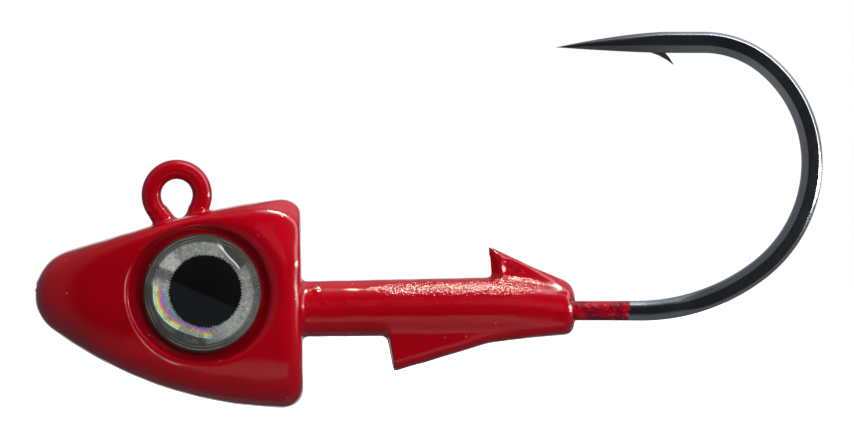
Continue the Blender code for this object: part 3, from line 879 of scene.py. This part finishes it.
def makeFoil():
    made, g = newMaterial("holographicFoil")
    place = objectPlace(g)
    x, y, z = g.parts(place)
    east = (x - eye["x"] * mm) / (eye["foil"] * mm)
    north = (z - eyeZ * mm) / (eye["foil"] * mm)
    radius = (east * east + north * north) ** 0.5
    # 0 at the nose side, rising past the belly side to 1
    turn = north.maths("ARCTAN2", east) / (2 * pi) + 0.5
    warp = g.noise(place, 700.0, 3.0)
    fine = g.noise(place, 9000.0, 3.0, 0.7)
    angle = turn + (warp - 0.5) * 0.035
    # the film's painted reflection, by angle round the eye
    stops = [(p, (v * 1.03, v * 1.08, v * 1.02)) for p, v in filmReflectionShades]
    film = g.node("ShaderNodeValToRGB", {"stops": stops}, {0: angle})
    glitter = g.noise(place, 5200.0, 3.0, 0.8)
    film = g.mix(glitter.rise(0.54, 0.70) * 0.55, film, (0.80, 0.84, 0.80, 1))
    film = g.mix(glitter.rise(0.47, 0.32) * 0.55, film, (0.06, 0.065, 0.06, 1))
    # the painted rainbow follows a bowed edge under the pupil; outside that edge the film lies in painted
    # shade
    bow = 0.84 - turn.within(0.02, 0.19, 0.20, 0.36) * 0.10 + (warp - 0.5) * 0.05
    under = turn.rise(0.30, 0.25) + turn.rise(0.965, 0.985)
    inward = (bow - radius) / 0.26
    rainbow = g.node("ShaderNodeValToRGB", {"stops": rainbowReflection}, {0: inward})
    broken = g.noise(place, 1500.0, 3.0, 0.6).rise(0.40, 0.56)
    colour = g.mix((under * (0.12 + broken * 0.88) * inward.rise(1.05, 0.55)).clamp(), film, rainbow)
    shade = under * inward.rise(0.0, -0.06)
    colour = g.mix(shade.clamp() * 0.92, colour, (0.035, 0.033, 0.028, 1))
    # painted reflection: a bright curl between two dark streaks, above and behind the pupil
    climb = (turn - 0.625) / 0.08
    curl = radius - 0.755 - climb.maths("MAXIMUM", 0.0) ** 2.5 * 0.17
    span = turn.within(0.585, 0.60, 0.70, 0.712)
    streaks = curl.within(0.0, 0.015, 0.10, 0.16) * 0.88
    colour = g.mix(span * streaks, colour, (0.045, 0.045, 0.045, 1))
    thin = curl.maths("ABSOLUTE") - turn.rise(0.67, 0.705) * 0.034
    colour = g.mix(span * thin.rise(0.020, 0.006), colour, (0.85, 0.88, 0.85, 1))
    # a painted orange glint by the left pupil
    near = {0: place, 1: (0.00008, -0.0038, -0.00462)}
    spark = g.node("ShaderNodeVectorMath", {"operation": "DISTANCE"}, near, "Value")
    spark = spark.rise(0.00034, 0.00012) * glitter.rise(0.35, 0.55)
    colour = g.mix(spark, colour, (0.95, 0.40, 0.12, 1))
    # the print stops short of the edge; outside it the ring is painted shade, the socket's shadow seen
    # through the dome's edge, crossed by pale arcs of painted highlight
    streak = g.noise(place, 420.0, 3.0, 0.6)
    tail = radius.rise(0.84, 0.90) * (0.72 + turn.rise(0.60, 0.66) * 0.2 + turn.rise(0.40, 0.30) * 0.2)
    colour = g.mix(tail.clamp(), colour, (0.045, 0.040, 0.034, 1))
    ripple = (radius * 120.0 + streak * 9.0).maths("SINE")
    arc = radius.rise(0.86, 0.93) * ripple.rise(0.1, 0.9) * streak.rise(0.38, 0.62)
    colour = g.mix(arc * 0.65, colour, (0.24, 0.23, 0.19, 1))
    # painted shade at the very edge of the foil
    colour = g.mix(radius.rise(0.978, 1.0) * 0.8, colour, (0.030, 0.014, 0.012, 1))
    inputs = {"Base Color": colour, "Roughness": 0.34 + fine * 0.2, "Specular IOR Level": 0.12}
    inputs["Normal"] = g.bump(fine, 0.00001, 0.5)
    g.finish(g.node("ShaderNodeBsdfPrincipled", {}, inputs))
    return made


def makeInk():
    made, g = newMaterial("pupilInk")
    place = objectPlace(g)
    x, y, z = g.parts(place)
    # the lower rear sector of the ink looks a touch greyer
    east = x - eye["x"] * mm
    north = z - (eyeZ - 0.05) * mm
    sector = (north + east * 0.42).rise(0.00004, -0.00004)
    fine = g.noise(place, 7000.0, 2.0)
    colour = g.mix(sector, (0.0015, 0.0016, 0.0020, 1), (0.0075, 0.0090, 0.0105, 1))
    inputs = {"Base Color": colour, "Roughness": 0.5 + fine * 0.1, "Specular IOR Level": 0.06}
    inputs["Normal"] = g.bump(fine, 0.000005, 0.3)
    g.finish(g.node("ShaderNodeBsdfPrincipled", {}, inputs))
    return made


def makeResin():
    made, g = newMaterial("clearResin")
    place = objectPlace(g)
    fine = g.noise(place, 1500.0, 2.0)
    bump = g.bump(fine, 0.000006, 0.25)
    rim = g.node("ShaderNodeLayerWeight", {}, {"Blend": 0.35, "Normal": bump}, "Facing")
    colour = g.mix(fine, (0.05, 0.05, 0.04, 1), (0.09, 0.09, 0.08, 1))
    inputs = {"Base Color": colour, "Roughness": 0.04, "Alpha": 0.015 + rim * 0.30, "Normal": bump}
    inputs.update({"IOR": 1.48, "Specular IOR Level": 0.28})
    g.finish(g.node("ShaderNodeBsdfPrincipled", {}, inputs))
    return made


def makeFoam():
    made, g = newMaterial("foamPad")
    place = objectPlace(g)
    cells = g.node("ShaderNodeTexVoronoi", {}, {"Vector": place, "Scale": 4000.0}, "Distance")
    colour = g.mix(cells, (0.62, 0.61, 0.56, 1), (0.82, 0.81, 0.77, 1))
    inputs = {"Base Color": colour, "Roughness": 0.9, "Normal": g.bump(cells, 0.00002, 0.6)}
    g.finish(g.node("ShaderNodeBsdfPrincipled", {}, inputs))
    return made


def makeEyes(foil, ink, resin, foam):
    foilLow = halfThickness(socket["x"] - noseX) - socket["depth"] + eye["padThick"]
    foilHigh = foilLow + eye["foilThick"]
    pupilLow = foilHigh + eye["gap"]
    domeLow = pupilLow + eye["inkThick"] + eye["gap"]
    for side, word in ((-1, "left"), (1, "right")):
        profile = [(0.0, foilLow), (eye["foil"], foilLow), (eye["foil"], foilHigh), (0.0, foilHigh)]
        verts, faces = lathe(profile, eye["x"], eyeZ, eye["sides"], side)
        piece = addMesh(word + "FoilDisc", verts, faces, foil, 40)
        placePiece(piece, [word + "_eye_foil"])
        piece = addMesh(word + "PupilPrint", *pupilMesh(pupilLow, side), ink, 40)
        placePiece(piece, [word + "_eye_pupil"])
        verts, faces = lathe(domeProfile(domeLow), eye["x"], eyeZ, eye["sides"], side)
        piece = addMesh(word + "ResinDome", verts, faces, resin, 60)
        placePiece(piece, [word + "_eye_dome"])
        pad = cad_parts[word + "_eye_adhesive"]
        for slot in pad.material_slots:
            slot.material = foam
    print("eyes: foil, pupil, dome on each side")


studio = {
    "camera": (16.683, -1265.1, -1.277),
    "lens": 800.0,
    "sensor": 36,
    "clip": (0.01, 10),
    "floorGap": 0.05,
    "floorSize": 3.0,
}


def makeFloor():
    made, g = newMaterial("paleFloor")
    place = objectPlace(g)
    mottle = g.noise(place, 30.0, 2.0)
    colour = g.mix(mottle, (0.86, 0.86, 0.86, 1), (0.90, 0.90, 0.90, 1))
    inputs = {"Base Color": colour, "Roughness": 0.85}
    inputs.update({"Emission Color": (1, 1, 1, 1), "Emission Strength": 0.80})
    g.finish(g.node("ShaderNodeBsdfPrincipled", {}, inputs))
    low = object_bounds()[0].z - studio["floorGap"] * mm
    half = studio["floorSize"] / 2
    verts = [(-half, -half, low), (half, -half, low), (half, half, low), (-half, half, low)]
    floor = addMesh("paleFloor", verts, [(0, 1, 2, 3)], made)
    floor.visible_glossy = False
    floor.visible_diffuse = False
    floor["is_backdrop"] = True


def makeWorld():
    world = bpy.data.worlds.new("studioWorld")
    bpy.context.scene.world = world
    world.use_nodes = True
    g = Graph(world.node_tree)
    direction = g.node("ShaderNodeTexCoord", {}, {}, "Generated")
    x, y, z = g.parts(direction)
    # dark in front, pale all round, brighter overhead and past the collar, a bright patch high behind
    around = (y - z * 0.14).rise(-0.84, -0.36)
    patch = (x * 0.45 + y * 0.35 + z * 0.82).rise(0.72, 0.95)
    strip = (x * 0.72 + z * 0.69).rise(0.60, 0.85) * 4.4 + z.rise(0.80, 0.95) * 0.2
    strip = strip * y.within(-0.32, -0.20, 0.02, 0.14)
    sides = (x * 0.5 + z * 0.87).rise(-0.2, 0.6) * 0.12
    sides = sides + x.rise(-0.2, -0.8) * 0.12 + z.rise(-0.2, -0.8) * 0.05
    level = 0.018 + around * (0.072 + sides) + patch * 0.55 + strip + y.rise(0.90, 0.995) * 0.7
    seen = g.node("ShaderNodeLightPath", {}, {}, "Is Camera Ray")
    strength = level + seen * (1.0 - level)
    tint = g.mix(seen, (0.96, 0.98, 1.05, 1), (1, 1, 1, 1))
    back = g.node("ShaderNodeBackground", {}, {0: tint, 1: strength})
    out = world.node_tree.nodes.new("ShaderNodeOutputWorld")
    world.node_tree.links.new(back.socket, out.inputs[0])


def softbox(name, place, target, size, power, glint=False, colour=(1, 1, 1)):
    # places and sizes in mm, power in watts
    data = bpy.data.lights.new(name, "AREA")
    data.shape = "ELLIPSE" if glint else "RECTANGLE"
    data.size, data.size_y = (s * mm for s in size)
    data.energy = power
    data.color = colour
    made = bpy.data.objects.new(name, data)
    made.location = [c * mm for c in place]
    aim = Vector([t - c for t, c in zip(target, place)])
    made.rotation_euler = aim.to_track_quat("-Z", "Y").to_euler()
    made.visible_camera = False
    made.visible_glossy = glint
    made.visible_diffuse = not glint
    bpy.context.scene.collection.objects.link(made)
    return made


def makeStudio(paintedCasting):
    makeFloor()
    makeWorld()
    # two small lamps that only glint: one on the casting's collar, one on the head's rear edge
    lamp = softbox("collarGlint", (19.5, -3, 26), (19.5, 0, -6), (17, 7), 0.0190, True, (1, 0.96, 0.78))
    lamp.light_linking.receiver_collection = bpy.data.collections.new("glintTakers")
    lamp.light_linking.receiver_collection.objects.link(paintedCasting)
    softbox("edgeGlint", (60, -5, -1.0), (8, 0, -1.0), (30, 8), 0.0120, True)
    # wide diffusers, never mirrored in the lacquer
    softbox("topFill", (40, -50, 260), (14, 0, -4), (240, 160), 0.27)
    softbox("frontFill", (100, -330, 110), (14, 0, -4), (200, 160), 1.00)
    softbox("rearFill", (60, 340, 110), (14, 0, -4), (200, 160), 0.90)
    softbox("lowFrontFill", (20, -200, -220), (10, 0, -6), (220, 120), 1.70)
    softbox("lowRearFill", (20, 200, -220), (10, 0, -6), (220, 120), 1.50)
    data = bpy.data.cameras.new("productCamera")
    data.lens = studio["lens"]
    data.sensor_width = studio["sensor"]
    data.clip_start, data.clip_end = studio["clip"]
    camera = bpy.data.objects.new("productCamera", data)
    camera.location = [c * mm for c in studio["camera"]]
    camera.rotation_euler = (radians(90), 0, 0)
    bpy.context.scene.collection.objects.link(camera)
    bpy.context.scene.camera = camera
    bpy.context.scene.view_settings.view_transform = "Standard"
    print("studio: floor, world, lights, camera")


paintedCasting = makeCasting(makeLacquer())
makeHook(makePlating())
makeEyes(makeFoil(), makeInk(), makeResin(), makeFoam())
makeStudio(paintedCasting)
